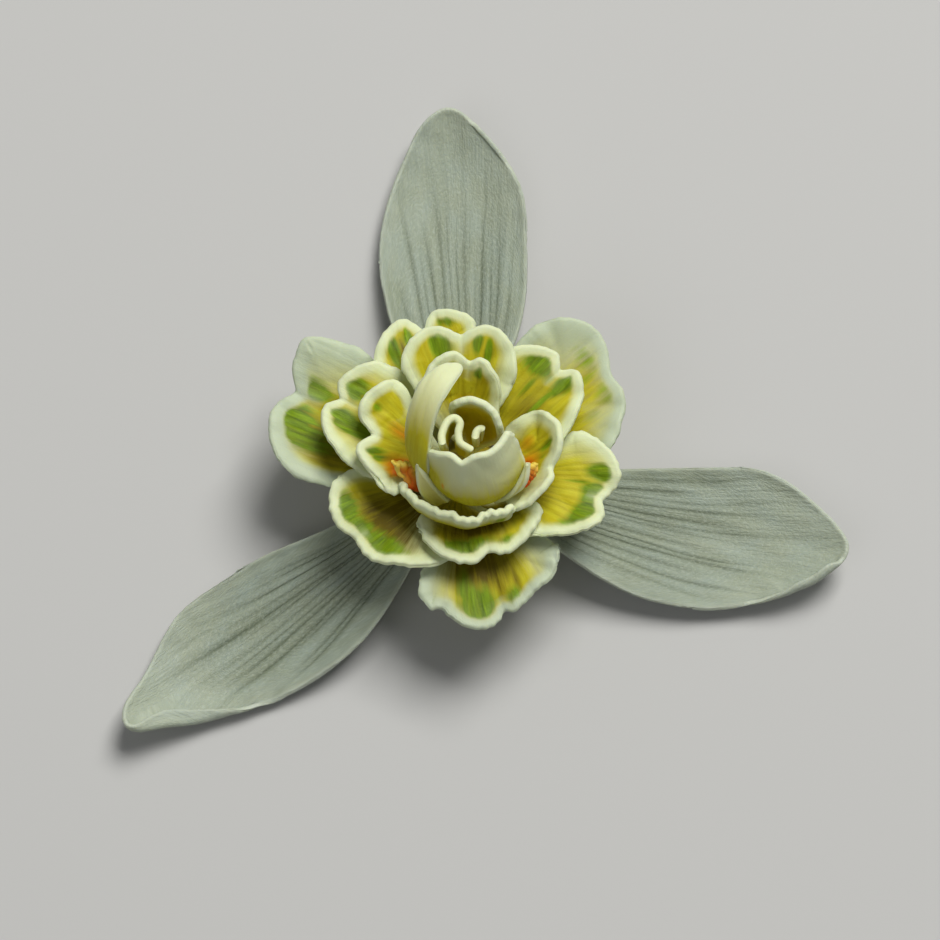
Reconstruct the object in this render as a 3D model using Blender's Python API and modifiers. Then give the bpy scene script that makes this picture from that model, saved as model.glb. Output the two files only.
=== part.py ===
"""A double snowdrop flower, picked and laid face up.

Three long outer tepals carry the flower on the surface, seventeen short notched tepals stand on a conical
receptacle in whorls that close towards the middle, and the ovary with its cut stalk hangs free below.
Units are metres, +Z is up, and the origin is under the middle of the flower's box, on the surface.
"""
import math
from dataclasses import dataclass

import bmesh
import bpy
import numpy as np

# Where the flower's axis stands, so that the whole flower is centred on the origin
AXIS = (-0.0015, -0.0048)

# The outer tepals' heels, where they leave the receptacle, and how thick every blade is
OUTER_HEEL = (0.0032, 0.0053)
BLADE = 0.0006
# The lowest that the middle of an outer tepal comes, and how far up its underside is pressed flat
BELLY = BLADE / 2
PRESSED = 0.00015

# Heels of the whorls from the outermost inward, as distance from the axis and height
HEELS = {
    1: (0.0031, 0.0060),
    2: (0.0028, 0.0067),
    3: (0.0024, 0.0072),
    4: (0.0019, 0.0078),
    5: (0.0015, 0.0084),
}

# The ovary's outline from the top of the receptacle down to the cut stalk
CROWN = 0.0097
OUTLINE = (
    (0.0000, CROWN),
    (0.0002, 0.0096),
    (0.0005, 0.0093),
    (0.0008, 0.0089),
    (0.0011, 0.0084),
    (0.0015, 0.0078),
    (0.0020, 0.0072),
    (0.0024, 0.0066),
    (0.0027, 0.0060),
    (0.0028, 0.0055),
    (0.0025, 0.0051),
    (0.0018, 0.0048),
    (0.0017, 0.0045),
    (0.0019, 0.0038),
    (0.0020, 0.0030),
    (0.0018, 0.0021),
    (0.0013, 0.0014),
    (0.0008, 0.0010),
    (0.0007, 0.0003),
    (0.0000, 0.0003),
)
OVARY_SIDES = 20

# Colours as linear values
WHITE = (0.78, 0.82, 0.74)
CREAM = (0.80, 0.82, 0.58)
ORANGE = (0.75, 0.18, 0.02)
GREEN = (0.12, 0.28, 0.05)


@dataclass
class Tepal:
    """One blade: a middle line in the plane through the axis, and what spreads, cups and cuts it."""

    azimuth: float                  # degrees round the axis, 0 along +X
    heel: tuple                     # distance from the axis and height where the middle line starts
    tip: tuple                      # the same where it ends
    start: float = 12.0             # slope of the middle line at the heel, degrees above the horizontal
    end: float = 0.0                # its slope at the tip
    pull: float = 0.38              # length of the curve's handles, of the straight line from heel to tip
    width: float = 0.0040           # greatest half width of a blade spread as a sheet
    span: float = 0.0               # greatest half angle of a blade turned round the axis, degrees
    turned: float = 0.0             # 0 for a sheet, 1 for a blade turned round the axis
    claw: float = 0.30              # width at the heel, of the greatest
    swell: float = 0.75             # how late the blade reaches its width
    cap: float = 0.42               # how far the edges fall short of the tip, of the length
    point: float = 0.0              # 0 for a round tip, 1 for a pointed one
    skew: float = 0.0               # how much more the left edge falls short than the right one
    cuts: tuple = ()                # along the tip: place across, depth of the length, half width; lobes below 0
    wrap: float = 0.6               # how closely a sheet bends round the axis
    cup: float = 0.0                # how far its edges turn up at the tip, degrees
    dome: float = 0.0               # height of the two lobes over the groove between them
    flare: tuple = (0.0, 0.0)       # how far the right and left edges lean out at the tip
    lean: tuple = (0.0, 0.0)        # how far the tip leans outward and to the left
    shift: tuple = (0.0, 0.0)       # how far the whole blade above its heel stands outward and to the left
    ripple: float = 0.0             # height of the waves along the tip
    sway: float = 0.0               # how far the tip turns round the axis, degrees
    floor: float = -1.0             # no part of the middle surface is lower
    rows: int = 8
    columns: int = 20
    colour: tuple = CREAM


RIPPLES = 6.0
TIP_ROUNDING = 0.12


def outer(**values):
    shape = dict(heel=OUTER_HEEL, start=-21, end=35, pull=0.42, width=0.0046, claw=0.25, swell=1.1, cap=0.42,
                 point=0.4, wrap=0, cup=42, floor=BELLY, rows=12, columns=8, colour=WHITE)
    shape.update(values)
    return Tepal(**shape)


def spread(whorl, **values):
    """A tepal of the three outer whorls, which spreads like a notched spoon."""
    shape = dict(heel=HEELS[whorl], dome=0.00025)
    shape.update({
        1: dict(start=12, wrap=0.6, cup=18),
        2: dict(start=28, wrap=0.8, cup=12),
        3: dict(start=40, end=5, wrap=0.9, cup=14, claw=0.28, dome=0.0002),
    }[whorl])
    shape.update(values)
    return Tepal(**shape)


def standing(whorl, **values):
    """A tepal of the next two whorls, which stands up round the cup."""
    shape = dict(heel=HEELS[whorl], claw=0.35, swell=0.8, cap=0.40, wrap=0.9)
    shape.update(values)
    return Tepal(**shape)


TEPALS = {
    "outer_tepal_back": outer(azimuth=92, tip=(0.0252, 0.0026), skew=0.12),
    "outer_tepal_right": outer(azimuth=-11, tip=(0.0242, 0.0026), start=-24, cap=0.40, sway=2, skew=-0.1),
    "outer_tepal_front": outer(azimuth=216, tip=(0.0259, 0.0026), start=-20, cap=0.58, point=0.5,
                               swell=1.0, width=0.0044, skew=0.05),
    "inner_tepal_1_right": spread(1, azimuth=38, tip=(0.0130, 0.0070), width=0.0046, cap=0.48, skew=-0.2,
                                  swell=0.6, cuts=((-0.10, 0.16, 0.30), (-0.57, 0.10, 0.32))),
    "inner_tepal_1_left": spread(1, azimuth=156.5, tip=(0.0129, 0.0065), width=0.0045, cap=0.35, swell=0.7,
                                 cuts=((-0.09, 0.10, 0.14), (-0.68, -0.15, 0.28))),
    "inner_tepal_1_front": spread(1, azimuth=-76.5, tip=(0.0106, 0.0060), width=0.0045, cap=0.50, swell=0.85,
                                  cuts=((0.36, 0.20, 0.50), (-0.55, 0.17, 0.15), (0.95, 0.12, 0.30))),
    "inner_tepal_2_right": spread(2, azimuth=-10.5, tip=(0.0101, 0.0077), width=0.0035, start=25, cap=0.62,
                                  skew=-0.25, swell=1.4, cuts=((-0.09, 0.16, 0.22),)),
    "inner_tepal_2_back": spread(2, azimuth=108, tip=(0.0104, 0.0081), width=0.0035, cap=0.32, skew=0.25,
                                 cup=8, cuts=((-0.05, 0.14, 0.10),)),
    "inner_tepal_2_front": spread(2, azimuth=216, tip=(0.0093, 0.0074), width=0.0042, cap=0.62, skew=0.33,
                                  swell=1.1, cuts=((-0.06, 0.10, 0.17), (0.46, 0.18, 0.50))),
    "inner_tepal_3_right": spread(3, azimuth=44, tip=(0.0093, 0.0090), width=0.0033, start=36, cap=0.54,
                                  skew=-0.37, cup=10, cuts=((0.04, 0.11, 0.10),)),
    "inner_tepal_3_left": spread(3, azimuth=153.5, tip=(0.0096, 0.0090), width=0.0035, cap=0.45, skew=0.29,
                                 swell=0.9, cuts=((-0.04, 0.10, 0.10),)),
    "inner_tepal_3_front": spread(3, azimuth=-75, tip=(0.0064, 0.0084), width=0.0039, start=37, cap=0.62,
                                  skew=-0.28, swell=0.6, cup=3, cuts=((0.0, 0.14, 0.10), (0.75, 0.14, 0.43))),
    "inner_tepal_4_right": standing(4, azimuth=-5.5, tip=(0.0059, 0.0109), start=30, end=57, span=45,
                                    turned=1, cap=0.52, skew=0.34, lean=(0, 0.00105), dome=0.0001,
                                    cuts=((-0.12, 0.16, 0.10),)),
    "inner_tepal_4_back": standing(4, azimuth=92, tip=(0.0089, 0.0109), start=38, end=12, span=34,
                                   width=0.0036, turned=0.7, dome=0.0002, skew=-0.2,
                                   cuts=((0.0, 0.14, 0.18),)),
    "inner_tepal_4_front": standing(4, azimuth=258, tip=(0.00445, 0.0102), start=47, end=62, span=50,
                                    turned=1, cap=0.12, ripple=0.00012, flare=(0.0010, -0.00045)),
    "inner_tepal_5_left": standing(5, azimuth=167.5, tip=(0.0076, 0.0109), start=20, end=27, span=38,
                                   width=0.0039, turned=0.8, cap=0.33, skew=0.29, dome=0.0002,
                                   cuts=((-0.03, 0.21, 0.10), (0.50, 0.24, 0.44))),
    "inner_tepal_5_back": standing(5, azimuth=93.5, tip=(0.0062, 0.0126), start=34, end=38, span=38,
                                   width=0.0028, turned=0.8, cap=0.62, skew=-0.13, dome=0.0002,
                                   cuts=((-0.11, 0.11, 0.10), (0.67, 0.03, 0.21))),
    "cup_tepal_front": Tepal(azimuth=-85, heel=(0.0009, 0.0093), tip=(0.0016, 0.0143), start=14, end=105,
                             pull=0.48, span=112, turned=1, claw=0.4, swell=0.8, cap=0.16, skew=-1.0,
                             shift=(0.00027, 0.00087), lean=(-0.00093, -0.00036),
                             cuts=((-0.15, 0.07, 0.10),), flare=(0.0, 0.0009)),
    "cup_tepal_back": Tepal(azimuth=65, heel=(0.0006, 0.00965), tip=(0.00185, 0.0142), start=20, end=100,
                            pull=0.5, span=54, turned=1, claw=0.5, swell=0.8, cap=0.15,
                            shift=(0.00004, -0.00009), lean=(0.00073, 0.00033)),
}

# The cup's left tepal is a strap that bends over the cup: the four handles of its middle line, the sides to
# which its face looks at the heel and from half way on, and the same measures as a tepal's
STRAPS = {
    "cup_tepal_left": dict(path=((-0.00135, -0.00055, 0.0087), (-0.0036, -0.0024, 0.01075),
                                 (-0.00315, 0.0030, 0.0171), (-0.00035, 0.0044, 0.0140)),
                           heel_faces=(-0.80, -0.33, 0.54), tip_faces=(-0.20, 0.12, 0.94),
                           width=0.00086, claw=0.44, swell=0.8, cap=0.30, skew=-0.65, rows=14, columns=6),
}

# Narrow blades between the whorls and the cup: a path of three points from the foot over a bend to the
# head, the direction in which the blade is wide, and its widths, all round the flower's axis
SLIPS = {
    "pointed_slip_left": dict(foot=(-0.0006, -0.0020, 0.0090), bend=(-0.0030, -0.0028, 0.01025),
                              head=(-0.0031, -0.0011, 0.0113), foot_width=0.0007, head_width=0.00025,
                              belly=0.0004, columns=2, colour=CREAM),
    "pointed_slip_right": dict(foot=(0.0017, -0.0018, 0.0090), bend=(0.0033, -0.0030, 0.0099),
                               head=(0.0038, -0.0008, 0.0113), foot_width=0.0006, head_width=0.00025,
                               belly=0.0002, columns=2, colour=CREAM),
    "anther_left": dict(foot=(-0.0030, -0.0013, 0.0098), bend=(-0.0041, -0.0017, 0.0103),
                        head=(-0.0044, -0.0003, 0.0111), foot_width=0.0006, head_width=0.0015,
                        ripple=0.0001, columns=6, colour=ORANGE),
    "anther_right": dict(foot=(0.0041, -0.0019, 0.0106), bend=(0.0046, -0.0015, 0.0110),
                         head=(0.0044, -0.0004, 0.0115), foot_width=0.0005, head_width=0.0007,
                         ripple=0.00005, columns=4, colour=ORANGE),
}
SLIP_ACROSS = {"pointed": (1.0, 0.3, 0.6), "anther": (1.0, 0.0, -0.1)}
SLIP_ROWS = 8

# Ribbons that stand in the cup: their curve in plan, and the heights between which they stand
RIBBONS = {
    "curled_tepaloid_left": dict(plan=((-0.00066, 0.0005), (-0.0006, 0.00115), (-0.0002, 0.0013),
                                       (0.0001, 0.0009), (0.00015, 0.0003)),
                                 centre=(-0.0002, 0.0006), low=0.0108, high=0.0133, drop=0.0003, narrow=0.8,
                                 rows=4, columns=14),
    "curled_tepaloid_right": dict(plan=((0.00062, 0.00145), (0.0007, 0.0012), (0.0009, 0.00095)),
                                  centre=(0.0006, 0.0008), low=0.0107, high=0.0130, drop=0.0, narrow=0.7,
                                  rows=4, columns=5),
}


def smooth_step(values):
    values = np.clip(values, 0.0, 1.0)
    return values * values * (3.0 - 2.0 * values)


def middle_line(shape, along):
    """Distance from the axis, height, and the direction of the middle line at each place along it."""
    heel = np.array(shape.heel)
    tip = np.array(shape.tip)
    reach = np.linalg.norm(tip - heel) * shape.pull
    start = math.radians(shape.start)
    end = math.radians(shape.end)
    first = heel + reach * np.array((math.cos(start), math.sin(start)))
    second = tip - reach * np.array((math.cos(end), math.sin(end)))
    t = along[:, None]
    s = 1.0 - t
    place = s**3 * heel + 3 * s**2 * t * first + 3 * s * t**2 * second + t**3 * tip
    slope = 3 * s**2 * (first - heel) + 6 * s * t * (second - first) + 3 * t**2 * (tip - second)
    slope /= np.linalg.norm(slope, axis=1, keepdims=True)
    return place, slope


def tepal_surface(shape, u, v):
    """Points of the blade's middle surface. u runs from heel to tip and v from the right edge, -1, to 1."""
    angle = v * math.pi / 2
    sine = np.sin(angle)
    ridge = np.sqrt(v**2 + TIP_ROUNDING**2) - TIP_ROUNDING
    ridge /= math.sqrt(1 + TIP_ROUNDING**2) - TIP_ROUNDING
    fall = (1 - shape.point) * (1 - np.cos(angle)) + shape.point * ridge
    cut = sum(depth * np.exp(-np.abs((v - place) / width) ** 1.5) for place, depth, width in shape.cuts)
    along = u * (1 - shape.cap * (1 + shape.skew * sine) * fall) - cut * u**4
    place, slope = middle_line(shape, along)
    distance, height = place.T
    outward, upward = slope.T

    lobes = shape.dome * u**2 * (np.sin(np.abs(v) * math.pi) - 0.35)
    lobes += shape.ripple * u**6 * np.sin(v * RIPPLES * math.pi)
    spread_by = shape.claw + (1 - shape.claw) * np.sin(math.pi / 2 * u**shape.swell)

    # As a sheet, bent round the axis and cupped
    bend = shape.wrap * np.clip(upward, 0, None) / np.maximum(distance, 0.0008)
    bend = np.maximum(bend + math.radians(shape.cup) * along / shape.width, 0.1)
    across = shape.width * spread_by * sine
    side = np.sin(bend * across) / bend
    rise = (1 - np.cos(bend * across)) / bend + lobes
    sheet = np.stack((distance - upward * rise, side, height + outward * rise), axis=1)
    if shape.sway:
        turn = np.radians(shape.sway) * along**2
        x, y = sheet[:, 0].copy(), sheet[:, 1].copy()
        sheet[:, 0] = x * np.cos(turn) - y * np.sin(turn)
        sheet[:, 1] = x * np.sin(turn) + y * np.cos(turn)

    # Turned round the axis
    leaning = np.where(v < 0, shape.flare[0], shape.flare[1]) * sine**2 * u**2
    rise = lobes - leaning
    turn = math.radians(shape.span) * spread_by * sine
    out = distance - upward * rise
    ring = np.stack((out * np.cos(turn), out * np.sin(turn), height + outward * rise), axis=1)

    points = sheet + shape.turned * (ring - sheet)
    above_heel = smooth_step(2.5 * along)
    for axis in (0, 1):
        points[:, axis] += shape.lean[axis] * along**2 + shape.shift[axis] * above_heel
    points[:, 2] = np.maximum(points[:, 2], shape.floor)
    return points


def slip_surface(across, shape, u, v):
    foot, bend, head = (np.array(shape[name]) for name in ("foot", "bend", "head"))
    across = np.array(across) / np.linalg.norm(across)
    facing = np.cross(head - foot, across)
    facing /= np.linalg.norm(facing)
    t = u[:, None]
    path = (1 - t) ** 2 * foot + 2 * t * (1 - t) * bend + t**2 * head
    width = shape["foot_width"] + (shape["head_width"] - shape["foot_width"]) * u
    width = width + shape.get("belly", 0.0) * np.sin(math.pi * u)
    wave = shape.get("ripple", 0.0) * u**3 * np.sin(3 * math.pi * v)
    return path + across * (width * v / 2)[:, None] + facing * wave[:, None]


def strap_surface(shape, u, v):
    """A blade along a path in space, flat across, whose face turns on the way."""
    sine = np.sin(v * math.pi / 2)
    fall = 1 - np.cos(v * math.pi / 2)
    t = (u * (1 - shape["cap"] * (1 + shape["skew"] * sine) * fall))[:, None]
    s = 1 - t
    a, b, c, d = (np.array(point) for point in shape["path"])
    path = s**3 * a + 3 * s**2 * t * b + 3 * s * t**2 * c + t**3 * d
    slope = 3 * s**2 * (b - a) + 6 * s * t * (c - b) + 3 * t**2 * (d - c)
    heel_faces, tip_faces = np.array(shape["heel_faces"]), np.array(shape["tip_faces"])
    across = np.cross(heel_faces + (tip_faces - heel_faces) * np.clip(2 * t, 0, 1), slope)
    across /= np.linalg.norm(across, axis=1, keepdims=True)
    spread_by = shape["claw"] + (1 - shape["claw"]) * np.sin(math.pi / 2 * u**shape["swell"])
    return path + across * (shape["width"] * spread_by * sine)[:, None]


def curve_through(points, t):
    """A smooth curve through the given points in plan, at t from 0 to 1."""
    points = np.array(points)
    ends = np.vstack((2 * points[0] - points[1], points, 2 * points[-1] - points[-2]))
    spans = len(points) - 1
    place = t * spans
    index = np.minimum(place.astype(int), spans - 1)
    f = (place - index)[:, None]
    a, b, c, d = (ends[index + step] for step in range(4))
    return 0.5 * (2 * b + (c - a) * f + (2 * a - 5 * b + 4 * c - d) * f**2 + (3 * b - a - 3 * c + d) * f**3)


def ribbon_surface(shape, u, v):
    t = (v + 1) / 2
    centre = np.array(shape["centre"])
    grow = shape["narrow"] + (1 - shape["narrow"]) * np.sin(u * math.pi / 2)
    plan = centre + (curve_through(shape["plan"], t) - centre) * grow[:, None]
    top = shape["high"] - shape["drop"] * (t - 0.5)
    height = shape["low"] + (top - shape["low"]) * u
    return np.column_stack((plan, height))


def make_material(name, colour, roughness=0.5):
    material = bpy.data.materials.new(name)
    material.use_nodes = True
    shader = material.node_tree.nodes["Principled BSDF"]
    shader.inputs["Base Color"].default_value = (*colour, 1.0)
    shader.inputs["Roughness"].default_value = roughness
    shader.inputs["Metallic"].default_value = 0.0
    material.diffuse_color = (*colour, 1.0)
    return material


def link(name, mesh, collection, parent):
    thing = bpy.data.objects.new(name, mesh)
    collection.objects.link(thing)
    thing.parent = parent
    return thing


def make_blade(name, surface, rows, columns, colour, collection, parent):
    """A grid moved on to the surface, split into triangles and given its thickness."""
    grid = bmesh.new()
    bmesh.ops.create_grid(grid, x_segments=columns, y_segments=rows, size=1.0)
    v = np.array([vert.co.x for vert in grid.verts])
    u = np.array([(vert.co.y + 1.0) / 2.0 for vert in grid.verts])
    for vert, point in zip(grid.verts, surface(u, v)):
        vert.co = point
    bmesh.ops.triangulate(grid, faces=grid.faces[:], quad_method="SHORT_EDGE")
    mesh = bpy.data.meshes.new(name)
    grid.to_mesh(mesh)
    grid.free()
    mesh.shade_smooth()
    mesh.materials.append(make_material(name, colour))
    blade = link(name, mesh, collection, parent)
    thicken = blade.modifiers.new("Thickness", "SOLIDIFY")
    thicken.thickness = BLADE
    thicken.offset = 0.0
    return blade


def press_belly(blade):
    """Give the blade its thickness for good, and the lowest part of its underside a flat spot."""
    depsgraph = bpy.context.evaluated_depsgraph_get()
    solid = bpy.data.meshes.new_from_object(blade.evaluated_get(depsgraph))
    for vertex in solid.vertices:
        if vertex.co.z < PRESSED:
            vertex.co.z = 0.0
    blade.modifiers.clear()
    blade.data = solid


def make_tepal(name, shape, collection, parent):
    blade = make_blade(name, lambda u, v: tepal_surface(shape, u, v), shape.rows, shape.columns,
                       shape.colour, collection, parent)
    if shape.floor > 0:
        press_belly(blade)
    blade.rotation_euler.z = math.radians(shape.azimuth)
    return blade


def make_slip(name, shape, collection, parent):
    across = SLIP_ACROSS[name.split("_")[0]]
    return make_blade(name, lambda u, v: slip_surface(across, shape, u, v), SLIP_ROWS, shape["columns"],
                      shape["colour"], collection, parent)


def make_strap(name, shape, collection, parent):
    return make_blade(name, lambda u, v: strap_surface(shape, u, v), shape["rows"], shape["columns"],
                      CREAM, collection, parent)


def make_ribbon(name, shape, collection, parent):
    return make_blade(name, lambda u, v: ribbon_surface(shape, u, v), shape["rows"], shape["columns"],
                      CREAM, collection, parent)


def make_ovary(collection, parent):
    """The receptacle, the ovary and the cut stalk, turned in one piece."""
    mesh = bpy.data.meshes.new("ovary")
    points = [(radius, 0.0, height) for radius, height in OUTLINE]
    edges = [(index, index + 1) for index in range(len(points) - 1)]
    mesh.from_pydata(points, edges, [])
    mesh.materials.append(make_material("ovary", GREEN))
    ovary = link("ovary", mesh, collection, parent)
    turn = ovary.modifiers.new("Turn", "SCREW")
    turn.steps = OVARY_SIDES
    turn.render_steps = OVARY_SIDES
    turn.use_merge_vertices = True
    turn.merge_threshold = 0.00001
    turn.use_smooth_shade = True
    return ovary


def clear_scene():
    for thing in list(bpy.data.objects):
        bpy.data.objects.remove(thing, do_unlink=True)


def build():
    clear_scene()
    flower = bpy.data.collections.new("snowdrop_flower")
    bpy.context.scene.collection.children.link(flower)
    axis = bpy.data.objects.new("flower_axis", None)
    axis.location = (*AXIS, 0.0)
    flower.objects.link(axis)

    for name, shape in TEPALS.items():
        make_tepal(name, shape, flower, axis)
    for name, shape in STRAPS.items():
        make_strap(name, shape, flower, axis)
    for name, shape in SLIPS.items():
        make_slip(name, shape, flower, axis)
    for name, shape in RIBBONS.items():
        make_ribbon(name, shape, flower, axis)
    make_ovary(flower, axis)


build()
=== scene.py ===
"""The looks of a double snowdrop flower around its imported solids.

Each tepal is made again as a fine closed blade on the surface of its solid, with a rounded rim, veins and
waves in its mesh, and with its green, yellow and orange marks as attributes that the materials read.
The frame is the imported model's: +Z up, the origin on the surface under the flower. The flower's own
measures are in millimetres round its axis, and those of the stage are in metres.
"""
import math
from dataclasses import dataclass

import bpy
import numpy as np
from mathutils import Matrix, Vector


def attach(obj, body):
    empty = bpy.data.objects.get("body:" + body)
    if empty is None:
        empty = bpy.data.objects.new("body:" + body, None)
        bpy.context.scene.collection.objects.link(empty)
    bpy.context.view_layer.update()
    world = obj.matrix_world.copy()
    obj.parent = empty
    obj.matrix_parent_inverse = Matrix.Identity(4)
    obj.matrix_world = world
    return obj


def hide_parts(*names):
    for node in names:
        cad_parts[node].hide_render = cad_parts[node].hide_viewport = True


MM = 0.001
SEED = 7

# The flower's axis on the surface, and where each whorl's middle lines start: distance from the axis, height
AXIS = (-1.5, -4.8)
OUTER_HEEL = (3.2, 5.3)
HEELS = {1: (3.1, 6.0), 2: (2.8, 6.7), 3: (2.4, 7.2), 4: (1.9, 7.8), 5: (1.5, 8.4)}

# The camera, which looks down on the flower from the front, and the photograph's frame
CAMERA_TARGET = Vector((-0.00119, -0.0042, 0.0050))
CAMERA_AZIMUTH = -90
CAMERA_ELEVATION = 75
CAMERA_DISTANCE = 0.250
FRAME_WIDTH = 0.05875
SENSOR = 36
FLOOR_REACH = 1.5
SKY_STRENGTH = 0.12


@dataclass
class Tepal:
    """One blade: a middle line in the plane through the axis, and what spreads, cups and cuts it."""

    azimuth: float  # degrees round the axis, 0 along +X
    heel: tuple  # distance from the axis and height where the middle line starts
    tip: tuple  # the same where it ends
    start: float = 12.0  # slope of the middle line at the heel, degrees above the horizontal
    end: float = 0.0  # its slope at the tip
    pull: float = 0.38  # length of the curve's handles, of the straight line from heel to tip
    width: float = 4.0  # greatest half width of a blade spread as a sheet
    span: float = 0.0  # greatest half angle of a blade turned round the axis, degrees
    turned: float = 0.0  # 0 for a sheet, 1 for a blade turned round the axis
    claw: float = 0.30  # width at the heel, of the greatest
    swell: float = 0.75  # how late the blade reaches its width
    cap: float = 0.42  # how far the edges fall short of the tip, of the length
    point: float = 0.0  # 0 for a round tip, 1 for a pointed one
    skew: float = 0.0  # how much more the left edge falls short than the right one
    cuts: tuple = ()  # along the tip: place across, depth of the length, half width; lobes below 0
    wrap: float = 0.6  # how closely a sheet bends round the axis
    cup: float = 0.0  # how far its edges turn up at the tip, degrees
    dome: float = 0.0  # height of the two lobes over the groove between them
    flare: tuple = (0.0, 0.0)  # how far the right and left edges lean out at the tip
    lean: tuple = (0.0, 0.0)  # how far the tip leans outward and to the left
    shift: tuple = (0.0, 0.0)  # how far the whole blade above its heel stands outward and to the left
    sway: float = 0.0  # how far the tip turns round the axis, degrees
    floor: float = -1000.0  # no part of the middle surface is lower


TIP_ROUNDING = 0.12
BELLY_ROUNDING = 0.6
LOBE_LEVEL = 0.35
LEAST_DISTANCE = 0.8
LEAST_BEND = 0.0001
LEAN_STARTS = 0.4


def outer(**values):
    shape = dict(heel=OUTER_HEEL, start=-21, end=35, pull=0.42, width=4.6, claw=0.25, swell=1.1, cap=0.42,
                 point=0.4, wrap=0, cup=42, floor=-0.3)
    return Tepal(**{**shape, **values})


def spread(whorl, **values):
    """A tepal of the three outer whorls, which spreads like a notched spoon."""
    shape = dict(heel=HEELS[whorl], dome=0.25)
    shape.update({
        1: dict(start=12, wrap=0.6, cup=18),
        2: dict(start=28, wrap=0.8, cup=12),
        3: dict(start=40, end=5, wrap=0.9, cup=14, claw=0.28, dome=0.2),
    }[whorl])
    return Tepal(**{**shape, **values})


def standing(whorl, **values):
    """A tepal of the next two whorls, which stands up round the cup."""
    shape = dict(heel=HEELS[whorl], claw=0.35, swell=0.8, cap=0.40, wrap=0.9)
    return Tepal(**{**shape, **values})


TEPALS = {
    "outer_tepal_back": outer(azimuth=92, tip=(25.2, 2.6), skew=0.12),
    "outer_tepal_right": outer(azimuth=-11, tip=(24.2, 2.6), start=-24, cap=0.40, sway=2, skew=-0.1),
    "outer_tepal_front": outer(
        azimuth=216, tip=(25.9, 2.6), start=-20, cap=0.58, point=0.5, swell=1.0, width=4.4, skew=0.05),
    "inner_tepal_1_right": spread(
        1, azimuth=38, tip=(13.0, 7.0), width=4.6, cap=0.48, skew=-0.2, swell=0.6,
        cuts=((-0.10, 0.16, 0.30), (-0.57, 0.10, 0.32))),
    "inner_tepal_1_left": spread(
        1, azimuth=156.5, tip=(12.9, 6.5), width=4.5, cap=0.35, swell=0.7,
        cuts=((-0.09, 0.10, 0.14), (-0.68, -0.15, 0.28))),
    "inner_tepal_1_front": spread(
        1, azimuth=-76.5, tip=(10.6, 6.0), width=4.5, cap=0.50, swell=0.85,
        cuts=((0.36, 0.20, 0.50), (-0.55, 0.13, 0.17), (0.95, 0.12, 0.30), (0.05, 0.07, 0.06))),
    "inner_tepal_2_right": spread(
        2, azimuth=-10.5, tip=(10.1, 7.7), width=3.5, start=25, cap=0.62, skew=-0.25, swell=1.4,
        cuts=((-0.09, 0.16, 0.22),)),
    "inner_tepal_2_back": spread(
        2, azimuth=108, tip=(10.4, 8.1), width=3.5, cap=0.32, skew=0.25, cup=8,
        cuts=((-0.05, 0.14, 0.10),)),
    "inner_tepal_2_front": spread(
        2, azimuth=216, tip=(9.3, 7.4), width=4.2, cap=0.62, skew=0.33, swell=1.1,
        cuts=((-0.06, 0.10, 0.17), (0.46, 0.18, 0.50))),
    "inner_tepal_3_right": spread(
        3, azimuth=44, tip=(9.3, 9.0), width=3.3, start=36, cap=0.54, skew=-0.37, cup=10,
        cuts=((0.04, 0.11, 0.10),)),
    "inner_tepal_3_left": spread(
        3, azimuth=153.5, tip=(9.6, 9.0), width=3.5, cap=0.45, skew=0.29, swell=0.9,
        cuts=((-0.04, 0.10, 0.10),)),
    "inner_tepal_3_front": spread(
        3, azimuth=-75, tip=(6.4, 8.4), width=3.9, start=37, cap=0.62, skew=-0.28, swell=0.6, cup=3,
        cuts=((0.0, 0.14, 0.10), (0.75, 0.14, 0.43))),
    "inner_tepal_4_right": standing(
        4, azimuth=-5.5, tip=(5.9, 10.9), start=30, end=57, span=45, turned=1, cap=0.52, skew=0.34,
        lean=(0.0, 1.05), dome=0.1, cuts=((-0.12, 0.16, 0.10),)),
    "inner_tepal_4_back": standing(
        4, azimuth=92, tip=(8.9, 10.9), start=38, end=12, span=34, width=3.6, turned=0.7, dome=0.2,
        skew=-0.2, cuts=((0.0, 0.14, 0.18),)),
    "inner_tepal_4_front": standing(
        4, azimuth=258, tip=(3.9, 10.9), start=10, end=98, pull=0.6, span=57, turned=1, cap=0.14,
        flare=(0.3, 0.3)),
    "inner_tepal_5_left": standing(
        5, azimuth=167.5, tip=(7.6, 10.9), start=20, end=27, span=38, width=3.9, turned=0.8, cap=0.33,
        skew=0.29, dome=0.2, cuts=((-0.03, 0.21, 0.10), (0.50, 0.24, 0.44))),
    "inner_tepal_5_back": standing(
        5, azimuth=93.5, tip=(6.2, 12.6), start=34, end=38, span=38, width=2.8, turned=0.8, cap=0.62,
        skew=-0.13, dome=0.2, cuts=((-0.11, 0.11, 0.10), (0.67, 0.03, 0.21))),
    "cup_tepal_front": Tepal(
        azimuth=-85, heel=(0.9, 9.3), tip=(1.6, 14.7), start=10, end=103, pull=0.58, span=91, turned=1,
        claw=0.4, swell=0.8, cap=0.20, skew=-0.85, shift=(0.42, 0.68), lean=(-0.93, -0.36),
        cuts=((-0.15, 0.05, 0.12), (1.0, 0.13, 0.14)), flare=(0.5, 0.6)),
    "cup_tepal_back": Tepal(
        azimuth=65, heel=(0.6, 9.65), tip=(1.85, 14.2), start=20, end=100, pull=0.5, span=54, turned=1,
        claw=0.5, swell=0.8, cap=0.15, shift=(0.04, -0.09), lean=(0.73, 0.33)),
}

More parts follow.
